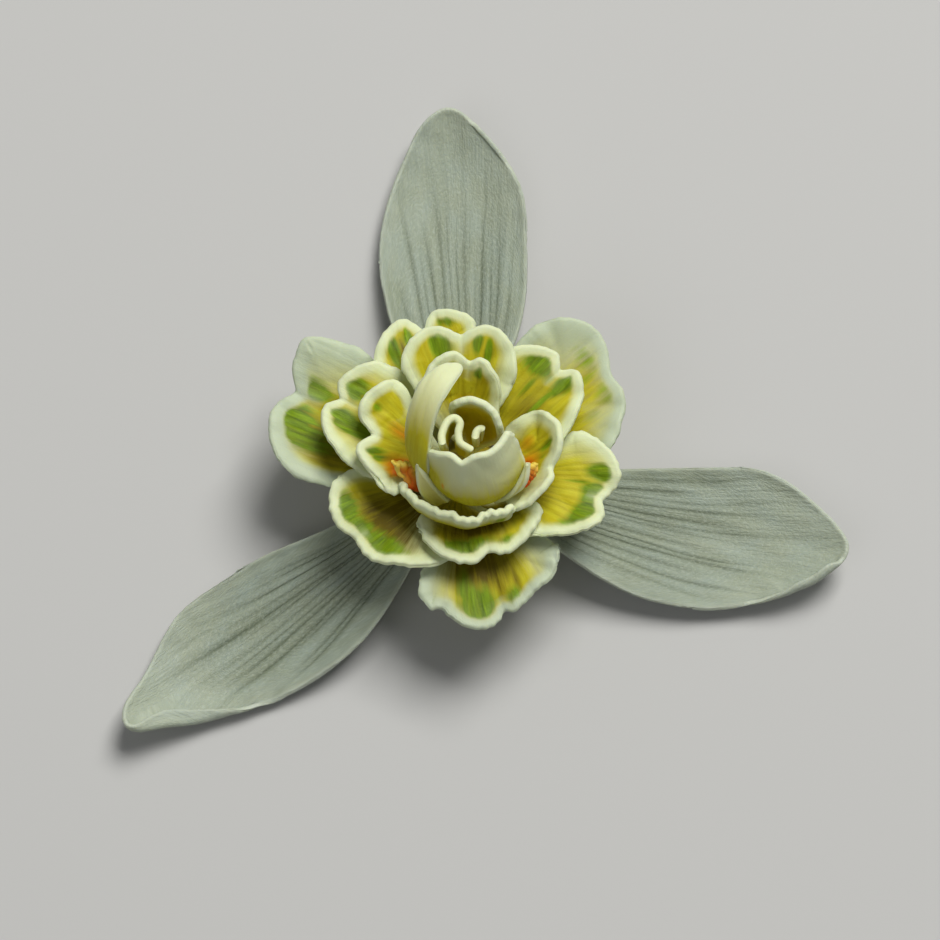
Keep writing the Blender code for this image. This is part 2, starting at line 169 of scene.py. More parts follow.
# The cup's left tepal is a strap that bends over the cup: the four handles of its middle line, the sides to
# which its face looks at the heel and from half way on, and the same measures as a tepal's
STRAPS = {
    "cup_tepal_left": dict(
        path=((-1.35, -0.55, 8.7), (-3.6, -2.4, 10.75), (-3.15, 3.0, 17.1), (-0.35, 4.4, 14.0)),
        heel_faces=(-0.80, -0.33, 0.54), tip_faces=(-0.20, 0.12, 0.94), width=0.92, claw=0.44, swell=0.8,
        cap=0.28, skew=0.05),
}

# Narrow blades between the whorls and the cup: a path of three points from the foot over a bend to the
# head, the side to side direction, and their widths
POINTED_ACROSS = (1.0, 0.3, 0.6)
ANTHER_ACROSS = (1.0, 0.0, -0.1)
SLIPS = {
    "pointed_slip_left": dict(
        across=POINTED_ACROSS, foot=(-1.3, -2.65, 9.2), bend=(-2.5, -2.4, 10.4), head=(-2.9, -0.8, 12.0),
        foot_width=1.0, head_width=0.1, belly=0.6),
    "pointed_slip_right": dict(
        across=POINTED_ACROSS, foot=(2.1, -2.5, 9.2), bend=(3.5, -2.5, 10.4), head=(3.8, -0.8, 11.8),
        foot_width=0.8, head_width=0.1, belly=0.6),
    "anther_left": dict(
        across=ANTHER_ACROSS, foot=(-2.7, -2.0, 9.7), bend=(-3.3, -1.6, 10.2), head=(-3.7, -0.5, 11.1),
        foot_width=0.7, head_width=1.5, ripple=0.08),
    "anther_right": dict(
        across=ANTHER_ACROSS, foot=(3.5, -1.8, 10.2), bend=(4.1, -1.4, 10.7), head=(4.1, -0.6, 11.1),
        foot_width=0.5, head_width=0.7, ripple=0.05),
}

# Ribbons that stand in the cup: their curve in plan, and the heights between which they stand
RIBBONS = {
    "curled_tepaloid_left": dict(
        plan=(
            (-1.35, -0.1), (-1.4, 0.6), (-1.1, 1.4), (-0.65, 1.7), (-0.3, 1.4), (-0.4, 0.8), (-0.3, 0.2),
            (0.1, -0.1), (0.5, -0.3)),
        centre=(-0.4, 0.6), low=10.8, high=13.3, drop=0.4, narrow=0.8),
    "curled_tepaloid_right": dict(
        plan=((0.6, 0.4), (0.7, 0.9), (0.95, 1.1), (1.2, 1.0)), centre=(0.8, 0.8), low=10.7, high=13.0,
        drop=0.0, narrow=0.7),
}

# The ovary's outline from the top of the receptacle down to the cut stalk
OUTLINE = (
    (0.0, 9.7), (0.2, 9.6), (0.5, 9.3), (0.8, 8.9), (1.1, 8.4), (1.5, 7.8), (2.0, 7.2), (2.4, 6.6),
    (2.7, 6.0), (2.8, 5.5), (2.5, 5.1), (1.8, 4.8), (1.7, 4.5), (1.9, 3.8), (2.0, 3.0), (1.8, 2.1),
    (1.3, 1.4), (0.8, 1.0), (0.7, 0.3), (0.0, 0.3),
)
OVARY_SIDES = 96
OVARY_RINGS = 120
OVARY_TOP = 4.8
OVARY_RIBS = 6
RIB_SHARE = 0.03
CROWN_STARTS = 5.4
CUT_TOP = 0.45
CUT_RADIUS = 0.62

# Marks of each colour, in hundredths: place along and across, reach along and across, and strength. The olive
# marks are olive colour with painted shade in the inner parts of the tepals.
MARKS = {
    "inner_tepal_1_right": dict(
        green=((80, 14, 7, 20, 38), (80, -22, 9, 14, 38), (62, -32, 12, 6, 34), (70, 0, 14, 6, 38)),
        yellow=((66, -6, 22, 34, 55), (30, -10, 35, 80, 80))),
    "inner_tepal_1_left": dict(
        green=((88, 14, 10, 16, 100), (78, 30, 14, 16, 90), (85, -17, 9, 10, 100)),
        yellow=((70, 2, 25, 28, 90), (45, 20, 35, 60, 100)),
        olive_and_painted_shade=((58, 30, 22, 34, 90), (30, 10, 30, 60, 90))),
    "inner_tepal_1_front": dict(
        green=((80, -18, 13, 19, 100), (62, -30, 14, 10, 60), (84, 18, 10, 10, 80)),
        yellow=((60, -2, 34, 46, 100),),
        olive_and_painted_shade=((40, -10, 24, 50, 100), (62, 8, 22, 6, 80), (64, -8, 18, 5, 70), (62, 24, 16, 5, 70))),
    "inner_tepal_2_right": dict(
        green=((87, 24, 10, 12, 100), (82, 0, 9, 11, 100), (82, -30, 8, 42, 100), (66, 10, 12, 4, 50)),
        yellow=((56, -15, 34, 66, 100),), olive_and_painted_shade=((30, -30, 22, 50, 60),)),
    "inner_tepal_2_back": dict(
        green=((84, 38, 12, 9, 90), (84, 16, 10, 7, 80), (91, -34, 4, 16, 70)),
        yellow=((83, -20, 14, 42, 90), (68, 20, 32, 42, 100)),
        olive_and_painted_shade=((76, 27, 12, 7, 80), (30, 0, 30, 60, 70))),
    "inner_tepal_2_front": dict(
        green=((84, -38, 8, 20, 100), (80, -10, 8, 15, 90), (76, 20, 10, 24, 100)),
        yellow=((60, -20, 25, 50, 100),), olive_and_painted_shade=((52, 0, 26, 55, 100), (25, 0, 25, 80, 90))),
    "inner_tepal_3_right": dict(
        green=((86, 26, 8, 26, 90), (88, -13, 12, 10, 100), (62, -10, 16, 5, 60), (62, 18, 14, 5, 50)),
        yellow=((64, 5, 34, 66, 90),), olive_and_painted_shade=((42, -5, 25, 35, 70), (68, 8, 20, 42, 42))),
    "inner_tepal_3_left": dict(
        green=((89, -22, 9, 16, 100), (88, 12, 11, 8, 100), (76, 22, 16, 12, 100)),
        yellow=((74, -5, 26, 42, 100),), olive_and_painted_shade=((48, 5, 22, 35, 80),)),
    "inner_tepal_3_front": dict(
        green=((78, -22, 9, 32, 100), (84, 20, 8, 16, 70)), yellow=((56, 0, 32, 66, 100),),
        olive_and_painted_shade=((42, -5, 26, 60, 100),)),
    "inner_tepal_4_right": dict(
        green=((82, 13, 12, 6, 60), (66, 2, 12, 4, 40)),
        yellow=((62, 16, 24, 34, 100), (30, 0, 30, 80, 100)),
        orange=((54, 32, 12, 16, 50), (48, 0, 18, 20, 80)), red=((42, -2, 14, 14, 80),)),
    "inner_tepal_4_back": dict(
        green=((87, 20, 12, 12, 100), (87, -17, 8, 6, 90), (76, -30, 14, 5, 90)),
        yellow=((72, 32, 28, 28, 100), (66, -22, 34, 24, 100)), olive_and_painted_shade=((42, 10, 22, 40, 60),)),
    "inner_tepal_4_front": dict(
        green=((80, 60, 8, 20, 50),), yellow=((40, 0, 40, 140, 100),), olive_and_painted_shade=((40, -10, 25, 100, 50),)),
    "inner_tepal_5_left": dict(
        green=((84, -32, 5, 7, 50), (82, 14, 14, 5, 90), (66, 22, 14, 5, 80)),
        yellow=((78, -42, 14, 26, 100), (62, 0, 34, 34, 100), (35, 10, 30, 80, 100)),
        olive_and_painted_shade=((32, -15, 16, 40, 40),), orange=((46, -22, 20, 14, 60), (48, 40, 18, 26, 90)),
        red=((40, 45, 16, 26, 90),)),
    "inner_tepal_5_back": dict(
        green=((88, -24, 6, 8, 90), (90, 6, 4, 12, 50)), yellow=((74, -10, 28, 60, 100),),
        orange=((40, -10, 20, 40, 40),)),
    # On the cup tepals' inner faces, the yellow towards the heel is raised as painted light in the cup's
    # hollow
    "cup_tepal_front": dict(
        yellow=((20, 0, 40, 300, 100), (60, -60, 25, 30, 70)), orange=((62, -38, 4, 3, 60),),
        hollow_yellow_painted_light=((40, 0, 38, 300, 100),)),
    "cup_tepal_back": dict(
        yellow=((30, 0, 50, 300, 100), (92, -75, 8, 20, 80)), hollow_yellow_painted_light=((45, 0, 42, 300, 100),)),
    "cup_tepal_left": dict(yellow=((20, 0, 40, 300, 100), (50, -90, 30, 40, 50))),
    "pointed_slip_left": dict(yellow=((20, 0, 60, 300, 35),)),
    "pointed_slip_right": dict(yellow=((20, 0, 60, 300, 35),)),
    "curled_tepaloid_left": dict(yellow=((40, 0, 50, 300, 70),)),
    "curled_tepaloid_right": dict(yellow=((40, 0, 50, 300, 70),)),
}

# How the marks are painted, one over the other: from which strength on, over how much they come in, and how
# much streaks break them up. They reach further towards the heel, and one colour, the cup's yellow raised as
# painted light in its hollow, is on the inner face alone.
PAINTS = {
    "yellow": (0.02, 0.50, 1.0),
    # olive colour with painted shade
    "olive_and_painted_shade": (0.20, 0.70, 2.2),
    "green": (0.18, 0.34, 2.2),
    "orange": (0.20, 0.50, 1.6),
    "red": (0.25, 0.45, 1.6),
    "hollow_yellow_painted_light": (0.05, 0.50, 0.6),
}
INWARD = 1.8
# The painted light of the cup's hollow lies on the inner face alone
ONE_SIDED = "hollow_yellow_painted_light"

# Ridges and grooves: from and to, along and across, height, and reach beside them
CREASES = {
    "inner_tepal_1_left": (
        ((1.0, -0.70), (0.80, -0.28), 0.40, 0.10), ((1.0, -0.07), (0.6, 0.02), -0.20, 0.05)),
    "inner_tepal_1_front": (((0.80, -0.50), (0.30, -0.55), 0.15, 0.08),),
}

# Grooves that run inward from the narrow notches: depth, how far in, how much nearer to the middle, reach
NOTCH_GROOVE = 0.14
NOTCH_END = 0.72
NOTCH_TURN = 0.8
NOTCH_REACH = 0.05
NARROW_CUT = 0.24
NOTCH_PALENESS = 0.8

# Average length of the rim's waves and of its crinkles, how far in they reach, and where they start
WAVE_PITCH = 2.4
CRINKLE_PITCH = 0.7
WAVE_REACH = 1.6
CRINKLE_REACH = 0.7
RIM_STARTS = 0.4
WAVE_STRETCHES = (0.8, 1.0, 1.35, 1.9)
WAVE_SHARE = 0.4

# The broad swells: half waves along and across the blade
SWELLS = ((1.5, 1.2), (3.1, -2.3), (4.7, 3.9))

# The veins: the place across of the outermost, how uneven their spaces, ways, widths, depths and ends are,
# and over how much of the length they start and end
VEIN_SPREAD = 0.86
VEIN_JITTER = 0.3
VEIN_SWING = 0.012
VEIN_WIDTHS = (0.6, 1.3)
VEIN_DEPTHS = (0.45, 1.0)
VEIN_ENDS = 0.16
VEIN_STARTS = 0.08
VEIN_FADES = 0.3

# Places along an outline run from -1 at the right of the heel over 0 at the tip to 1 at the left of the heel.
# Where the outline stands further out or in than on the solid: place, reach, amount
BULGES = {
    "outer_tepal_back": (
        (-0.66, 0.16, 0.50), (-0.25, 0.10, 0.50), (0.06, 0.06, 0.45), (0.34, 0.30, 0.58),
        (0.70, 0.15, 0.30)),
    "outer_tepal_right": ((-0.75, 0.30, 0.80), (-0.10, 0.12, 0.40), (0.30, 0.13, 0.52)),
    "outer_tepal_front": (
        (-0.72, 0.15, -0.50), (-0.32, 0.11, 0.75), (-0.05, 0.06, 0.45), (0.23, 0.17, -0.42)),
}
BULGE_REACH = 1.2
BULGE_DEPTH = 2.2

# Margins that fold over on to the blade near its tip: from and to along the outline, how soon they reach
# their width from either end, width, bend radius, turn in degrees. They are narrower near the middle line.
FOLDS = {
    "outer_tepal_front": ((-0.03, 0.46), (0.07, 0.38), 1.6, 0.30, 150),
    "outer_tepal_right": ((-0.42, -0.01), (0.30, 0.07), 0.8, 0.26, 140),
    "outer_tepal_back": ((-0.28, -0.02), (0.12, 0.08), 0.4, 0.24, 110),
}
FOLD_LEAST = 0.5
FOLD_SHARE = 0.7
FOLD_STRETCH = 1.5

# Steps along an outline, over how many of them its directions are averaged, and over how many places of the
# grid the normals are, closely and, with a small share, broadly
OUTLINE_STEPS = 600
OUTLINE_EVENED = 6
NEAR = 2
AROUND = 9
AROUND_SHARE = 0.1


@dataclass
class Make:
    """How a blade is made from its surface."""

    rows: int = 80
    columns: int = 100
    rim: float = 0.24  # half thickness in the rounded rim
    blade: float = 0.18  # half thickness inside it
    settle: float = 1.2  # how far in from the rim the blade has its own thickness
    pale_rim: float = 0.18  # width of the pale margin
    fade: float = 0.75  # over which the marks come in
    veins: int = 12  # grooves that fan out from the heel
    vein_depth: float = 0.03
    vein_width: float = 0.030  # of the half width
    vein_end: float = 0.95  # where they fade, on average
    swells: float = 0.04  # height of broad uneven swells
    waves: float = 0.1  # height of the rim's waves
    frill: float = 0.02  # how far the rim's scallops stand out
    crinkles: float = 0.0  # height of the crinkles along the rim
    arch: float = 0.0  # height of the middle over the sides


INNER = Make()
SCALLOPED = Make(frill=0.04)
MAKES = {
    "outer": Make(
        rows=90, columns=200, rim=0.16, blade=0.14, settle=0.4, pale_rim=0.0, fade=0.3, veins=13,
        vein_depth=0.07, vein_width=0.045, vein_end=0.66, swells=0.1, waves=0.04, frill=0.01),
    "cup": Make(rows=60, columns=110, blade=0.2, pale_rim=0.0, fade=0.5, veins=0, swells=0.03, waves=0.06),
    "strap": Make(
        rows=70, columns=50, rim=0.3, blade=0.3, pale_rim=0.0, fade=0.3, veins=0, swells=0.03, waves=0.0,
        frill=0.0, arch=0.28),
    "slip": Make(
        rows=50, columns=30, rim=0.22, blade=0.22, settle=0.3, pale_rim=0.0, fade=0.2, veins=0, swells=0.0,
        waves=0.0, frill=0.0, arch=0.1),
    "anther": Make(
        rows=60, columns=60, rim=0.18, blade=0.2, settle=0.3, pale_rim=0.25, fade=0.3, veins=7,
        vein_width=0.08, swells=0.08, waves=0.06, frill=0.08),
    "ribbon": Make(
        rows=40, columns=120, blade=0.22, settle=0.3, pale_rim=0.1, fade=0.4, veins=0, swells=0.0,
        waves=0.0, frill=0.0),
    "inner_tepal_1_left": Make(pale_rim=0.55, fade=0.8),
    "inner_tepal_1_front": SCALLOPED,
    "inner_tepal_2_front": SCALLOPED,
    "inner_tepal_2_right": SCALLOPED,
    "inner_tepal_3_front": SCALLOPED,
    "inner_tepal_4_front": Make(crinkles=0.09, frill=0.06, waves=0.12),
}

# Linear colours
CREAM = (0.74, 0.81, 0.56)
FIRST_WHORL_CREAM = (0.58, 0.66, 0.49)
TISSUE = (0.70, 0.75, 0.36)
CUP_TISSUE = (0.76, 0.81, 0.48)
TEPALOID_TISSUE = (0.78, 0.76, 0.32)
FIRST_WHORL_TISSUE = (0.46, 0.52, 0.34)
YELLOW_PALE = (0.64, 0.62, 0.035)
YELLOW_DEEP = (0.48, 0.39, 0.004)
GREEN_LIGHT = (0.25, 0.39, 0.006)
GREEN_DARK = (0.075, 0.14, 0.002)
# Olive colour of the vein lines, and of the marks that also hold painted shade
OLIVE_LINES_AND_PAINTED_SHADE = (0.15, 0.11, 0.002)
# The cup's yellow, raised as painted light against the shade in its hollow
CUP_HOLLOW_YELLOW_PAINTED_LIGHT = (0.62, 0.50, 0.010)
ORANGE = (0.72, 0.30, 0.006)
RED = (0.72, 0.07, 0.002)
ANTHER_EDGE = (0.86, 0.64, 0.09)
OUTER_RIB = (0.44, 0.49, 0.38)
OUTER_SHADE = (0.22, 0.26, 0.18)
OUTER_VEIN = (0.10, 0.125, 0.07)
OUTER_RIM = (0.60, 0.66, 0.54)
OUTER_COOL = (0.36, 0.44, 0.40)
CROWN_YELLOW = (0.34, 0.27, 0.02)
OVARY_GREEN = (0.10, 0.22, 0.04)
OVARY_PALE = (0.30, 0.42, 0.14)
STALK_CUT = (0.50, 0.60, 0.30)
FLOOR_GREY = (0.56, 0.56, 0.55)
SKY = (0.96, 0.98, 1.0)
WARM = (1.0, 0.99, 0.96)
WHITE = (1.0, 1.0, 1.0)


# Surfaces

def smooth_step(values):
    values = np.clip(values, 0.0, 1.0)
    return values * values * (3.0 - 2.0 * values)


def unit(vectors):
    return vectors / np.maximum(np.linalg.norm(vectors, axis=-1, keepdims=True), 1e-20)


def turned(x, y, angle):
    """Places in plan turned round the axis."""
    return x * np.cos(angle) - y * np.sin(angle), x * np.sin(angle) + y * np.cos(angle)


def bezier(a, b, c, d, t):
    """Places on a curve with four handles, and its direction there."""
    t = t[..., None]
    s = 1 - t
    place = s**3 * a + 3 * s**2 * t * b + 3 * s * t**2 * c + t**3 * d
    return place, unit(3 * s**2 * (b - a) + 6 * s * t * (c - b) + 3 * t**2 * (d - c))


def middle_line(shape, along):
    """Distance from the axis, height, and the direction of the middle line at each place along it."""
    heel, tip = np.array(shape.heel), np.array(shape.tip)
    reach = np.linalg.norm(tip - heel) * shape.pull
    start, end = math.radians(shape.start), math.radians(shape.end)
    first = heel + reach * np.array((math.cos(start), math.sin(start)))
    second = tip - reach * np.array((math.cos(end), math.sin(end)))
    return bezier(heel, first, second, tip, along)


def tepal_surface(shape, u, v):
    """Points of the blade's middle surface. u runs from heel to tip and v from the right edge, -1, to 1."""
    angle = v * math.pi / 2
    sine = np.sin(angle)
    ridge = np.sqrt(v**2 + TIP_ROUNDING**2) - TIP_ROUNDING
    ridge /= math.sqrt(1 + TIP_ROUNDING**2) - TIP_ROUNDING
    fall = (1 - shape.point) * (1 - np.cos(angle)) + shape.point * ridge
    cut = sum(depth * np.exp(-np.abs((v - place) / width) ** 1.5) for place, depth, width in shape.cuts)
    along = u * (1 - shape.cap * (1 + shape.skew * sine) * fall) - cut * u**4
    place, slope = middle_line(shape, along)
    distance, height = place[..., 0], place[..., 1]
    outward, upward = slope[..., 0], slope[..., 1]

    lobes = shape.dome * u**2 * (np.sin(np.abs(v) * math.pi) - LOBE_LEVEL)
    spread_by = shape.claw + (1 - shape.claw) * np.sin(math.pi / 2 * u**shape.swell)

    # As a sheet, bent round the axis and cupped
    bend = shape.wrap * np.clip(upward, 0, None) / np.maximum(distance, LEAST_DISTANCE)
    bend = np.maximum(bend + math.radians(shape.cup) * along / shape.width, LEAST_BEND)
    across = shape.width * spread_by * sine
    side = np.sin(bend * across) / bend
    rise = (1 - np.cos(bend * across)) / bend + lobes
    x, y = turned(distance - upward * rise, side, np.radians(shape.sway) * along**2)
    sheet = np.stack((x, y, height + outward * rise), axis=-1)

    # Turned round the axis
    leaning = np.where(v < 0, shape.flare[0], shape.flare[1]) * sine**2 * u**2
    rise = lobes - leaning
    x, y = turned(distance - upward * rise, 0, math.radians(shape.span) * spread_by * sine)
    ring = np.stack((x, y, height + outward * rise), axis=-1)

    points = sheet + shape.turned * (ring - sheet)
    above_heel = smooth_step(along / LEAN_STARTS)
    for axis in (0, 1):
        points[..., axis] += shape.lean[axis] * along**2 + shape.shift[axis] * above_heel
    above = points[..., 2] - shape.floor
    points[..., 2] = shape.floor + (above + np.hypot(above, BELLY_ROUNDING)) / 2
    x, y = turned(points[..., 0], points[..., 1], math.radians(shape.azimuth))
    return np.stack((x, y, points[..., 2]), axis=-1)


def strap_surface(shape, u, v):
    """A blade along a path in space, flat across, whose face turns on the way."""
    sine = np.sin(v * math.pi / 2)
    fall = 1 - np.cos(v * math.pi / 2)
    along = u * (1 - shape["cap"] * (1 + shape["skew"] * sine) * fall)
    path, slope = bezier(*np.array(shape["path"]), along)
    heel_faces, tip_faces = np.array(shape["heel_faces"]), np.array(shape["tip_faces"])
    faces = heel_faces + (tip_faces - heel_faces) * np.clip(2 * along, 0, 1)[..., None]
    across = unit(np.cross(faces, slope))
    spread_by = shape["claw"] + (1 - shape["claw"]) * np.sin(math.pi / 2 * u**shape["swell"])
    return path + across * (shape["width"] * spread_by * sine)[..., None]


def slip_surface(shape, u, v):
    """A narrow blade along a bent path, which may be rippled at its head."""
    foot, bend, head = (np.array(shape[name]) for name in ("foot", "bend", "head"))
    across = unit(np.array(shape["across"]))
    facing = unit(np.cross(head - foot, across))
    t = u[..., None]
    path = (1 - t) ** 2 * foot + 2 * t * (1 - t) * bend + t**2 * head
    width = shape["foot_width"] + (shape["head_width"] - shape["foot_width"]) * u
    width = width + shape.get("belly", 0.0) * np.sin(math.pi * u)
    wave = shape.get("ripple", 0.0) * u**3 * np.sin(3 * math.pi * v)
    return path + across * (width * v / 2)[..., None] + facing * wave[..., None]


def curve_through(points, t):
    """A smooth curve through the given points in plan, at t from 0 to 1."""
    points = np.array(points)
    ends = np.vstack((2 * points[0] - points[1], points, 2 * points[-1] - points[-2]))
    spans = len(points) - 1
    place = t * spans
    index = np.minimum(place.astype(int), spans - 1)
    f = (place - index)[..., None]
    a, b, c, d = (ends[index + step] for step in range(4))
    return 0.5 * (2 * b + (c - a) * f + (2 * a - 5 * b + 4 * c - d) * f**2 + (3 * b - a - 3 * c + d) * f**3)


def ribbon_surface(shape, u, v):
    """A strip that stands on its curve in plan and narrows downward."""
    t = (v + 1) / 2
    centre = np.array(shape["centre"])
    grow = shape["narrow"] + (1 - shape["narrow"]) * np.sin(u * math.pi / 2)
    plan = centre + (curve_through(shape["plan"], t) - centre) * grow[..., None]
    top = shape["high"] - shape["drop"] * (t - 0.5)
    height = shape["low"] + (top - shape["low"]) * u
    return np.concatenate((plan, height[..., None]), axis=-1)


# From a surface to a blade

@dataclass
class Blade:
    """A blade's name, shape and make, and the places of its grid. u runs along it from 0 at the heel to 1 at
    the tip, v across it from -1 at the right edge to 1, and lane is v as a share of the half width."""

    name: str
    shape: object
    make: Make
    u: np.ndarray
    v: np.ndarray
    lane: np.ndarray


def evened(values, reach, axis=0):
    """Vectors in rows, each averaged with its neighbours along one direction of the grid."""
    width = [(0, 0)] * values.ndim
    width[axis] = (reach, reach)
    padded = np.pad(values, width, mode="edge")
    count = values.shape[axis]
    shifted = (np.take(padded, range(step, step + count), axis=axis) for step in range(2 * reach + 1))
    return sum(shifted) / (2 * reach + 1)


def surface_normals(points):
    """Unit normals of a grid of points, towards the face that looks up out of the flower. Each is averaged
    with its neighbours by area, and a broad average takes over in the slivers at the grid's corners."""
    facing = np.cross(np.gradient(points, axis=0), np.gradient(points, axis=1))
    near, around = (evened(evened(facing, reach, axis=0), reach, axis=1) for reach in (NEAR, AROUND))
    return unit(near + AROUND_SHARE * around)


def distance_to(points, line):
    """Distance of each point of the grid from the nearest point of a line, and that point's number."""
    distance = np.empty(points.shape[:2])
    nearest = np.empty(points.shape[:2], dtype=int)
    for number, row in enumerate(points):
        away = ((row[:, None] - line[None]) ** 2).sum(axis=-1)
        nearest[number] = away.argmin(axis=1)
        distance[number] = np.sqrt(away.min(axis=1))
    return distance, nearest


def half_thickness(edge, make):
    """A round rim that settles to the blade's own half thickness."""
    inside = np.clip(edge, 0, make.rim)
    bead = np.sqrt(inside * (2 * make.rim - inside))
    return bead + (make.blade - make.rim) * smooth_step((edge - make.rim) / make.settle)


def uneven_waves(random, place, pitch):
    """Uneven waves from about -1 to 1 along one direction, on average this long."""
    total = np.zeros_like(place)
    for stretch in WAVE_STRETCHES:
        length = pitch * stretch * random.uniform(0.9, 1.1)
        total += WAVE_SHARE * np.sin(2 * math.pi * place / length + random.uniform(0, 2 * math.pi))
    return total


def length_along(line):
    """How far along a line each of its points is."""
    return np.concatenate(([0], np.cumsum(np.linalg.norm(np.diff(line, axis=0), axis=1))))


def own_places(points):
    """Each point's place along the straight line from heel to tip, 0 to 1, and across it, about -1 to 1."""
    rows, columns = points.shape[:2]
    heel = points[0, columns // 2]
    axis = points[-1, columns // 2] - heel
    across = (points[rows // 2, -1] - points[rows // 2, 0]) / 2
    return (points - heel) @ axis / (axis @ axis), (points - heel) @ across / (across @ across)


def swell_noise(random, length, side):
    """Broad uneven swells over the whole blade, from about -1 to 1."""
    total = np.zeros_like(length)
    for along, across in SWELLS:
        waves = np.sin(math.pi * (along * length + across * side) + random.uniform(0, 2 * math.pi))
        total += waves / len(SWELLS)
    return total


def near_rim(edge, length, reach):
    """1 at the rim, falling away from it and towards the heel."""
    return np.exp(-((edge / reach) ** 2)) * smooth_step(length / RIM_STARTS)


def vein_pattern(blade, random):
    """How deep in a groove each place lies, for uneven grooves that fan out from the heel and fade."""
    make, u = blade.make, blade.u
    depth = np.zeros_like(u)
    for number in range(make.veins):
        lane = (number + random.uniform(-VEIN_JITTER, VEIN_JITTER)) / (make.veins - 1)
        place = VEIN_SPREAD * (2 * lane - 1)
        place = place + VEIN_SWING * np.sin(3 * math.pi * u + random.uniform(0, 2 * math.pi))
        width = make.vein_width * random.uniform(*VEIN_WIDTHS)
        end = make.vein_end + random.uniform(-VEIN_ENDS, VEIN_ENDS)
        fades = smooth_step(u / VEIN_STARTS) * (1 - smooth_step((u - end) / VEIN_FADES + 0.5))
        groove = fades * np.exp(-np.abs((blade.lane - place) / width))
        depth = np.maximum(depth, random.uniform(*VEIN_DEPTHS) * groove)
    return depth


def crease(blade, start, end, reach):
    """1 on a line from the start, falling to its end and beside it."""
    run = np.array(end) - np.array(start)
    ahead, beside = blade.u - start[0], blade.v - start[1]
    share = np.clip((ahead * run[0] + beside * run[1]) / (run @ run), 0, 1)
    away = np.hypot(ahead - share * run[0], beside - share * run[1])
    return (1 - share) ** 0.5 * np.exp(-away / reach)


def notch_folds(blade):
    """1 in the grooves that run inward from a tepal's narrow notches."""
    folds = np.zeros_like(blade.u)
    for place, depth, width in getattr(blade.shape, "cuts", ()):
        if depth > 0 and width < NARROW_CUT:
            groove = crease(blade, (1.0, place), (NOTCH_END, place * NOTCH_TURN), NOTCH_REACH)
            folds = np.maximum(folds, groove)
    return folds


def at_steps(places, run, values):
    """Vectors along a line, read at other places on it."""
    return np.stack([np.interp(places, run, column) for column in values.T], axis=-1)


class Outline:
    """A blade's outline but for the heel, at even steps from its right end over the tip to its left end."""

    def __init__(self, points, normals):
        line = np.concatenate((points[:, 0], points[-1, 1:-1], points[::-1, -1]))
        facing = np.concatenate((normals[:, 0], normals[-1, 1:-1], normals[::-1, -1]))
        run = length_along(line)
        tip = run[len(points) - 1 + points.shape[1] // 2]
        self.run = np.linspace(0, run[-1], OUTLINE_STEPS)
        self.line = at_steps(self.run, run, line)
        self.facing = unit(evened(at_steps(self.run, run, facing), OUTLINE_EVENED))
        self.onward = unit(evened(np.gradient(self.line, self.run, axis=0), OUTLINE_EVENED))
        self.outward = np.cross(self.onward, self.facing)
        middle = points[:, points.shape[1] // 2]
        at_tip = np.abs(self.run - tip).argmin()
        self.outward *= np.sign(np.sum(self.outward[at_tip] * (middle[-1] - middle[len(middle) // 2])))
        self.place = (self.run - tip) / np.where(self.run < tip, tip, run[-1] - tip)

    def nearest(self, points):
        """How far from the outline the points of a grid are, and how far along it."""
        away, number = distance_to(points, self.line)
        past = np.sum((points - self.line[number]) * self.onward[number], axis=-1)
        return np.sqrt(np.maximum(away**2 - past**2, 0)), self.run[number] + past

    def at(self, along, values):
        return at_steps(along, self.run, values)


def push_outline(name, points):
    """Move stretches of the outline out or in, and the blade near them less."""
    if name not in BULGES:
        return points
    outline = Outline(points, surface_normals(points))
    amount = np.zeros(OUTLINE_STEPS)
    for place, reach, out in BULGES[name]:
        amount += out * np.exp(-((outline.place - place) / reach) ** 2)
    push = outline.outward * amount[:, None]
    moved = points.copy()
    for row, line in enumerate(points):
        away = ((line[:, None] - outline.line[None]) ** 2).sum(axis=-1)
        share = np.exp(-away / BULGE_REACH**2)
        depth = np.exp(-away.min(axis=1) / BULGE_DEPTH**2)
        share *= (depth / np.maximum(share.sum(axis=1), 1e-20))[:, None]
        moved[row] += share @ push
    return moved


def fold_margin(name, points):
    """Fold a stretch of the margin at the tip over on to the blade, in a smooth hem."""
    if name not in FOLDS:
        return points
    (start, end), (soon, late), width, radius, turn = FOLDS[name]
    outline = Outline(points, surface_normals(points))
    room = FOLD_LEAST + FOLD_SHARE * distance_to(outline.line[None], points[:, points.shape[1] // 2])[0][0]
    strip = width * smooth_step((outline.place - start) / soon) * smooth_step((end - outline.place) / late)
    strip = np.minimum(strip, room)

    edge, along = outline.nearest(points)
    foot = outline.at(along, outline.line)
    outward = outline.at(along, outline.outward)
    facing = outline.at(along, outline.facing)
    reach = np.interp(along, outline.run, strip)
    over = np.maximum(reach - edge, 0)
    angle = np.minimum(over / radius, math.radians(turn))
    beyond = over - radius * angle
    out = radius * np.sin(angle) + beyond * np.cos(angle)
    up = radius * (1 - np.cos(angle)) + beyond * np.sin(angle)
    rise = np.sum((points - foot) * facing, axis=-1)
    stretched = np.maximum(reach - radius, 0) * (1 - smooth_step((edge - reach) / FOLD_STRETCH))
    folded = foot + outward * (out + stretched - reach)[..., None] + facing * (up + rise)[..., None]
    flat = points + outward * stretched[..., None]
    return np.where((over > 0)[..., None], folded, flat)


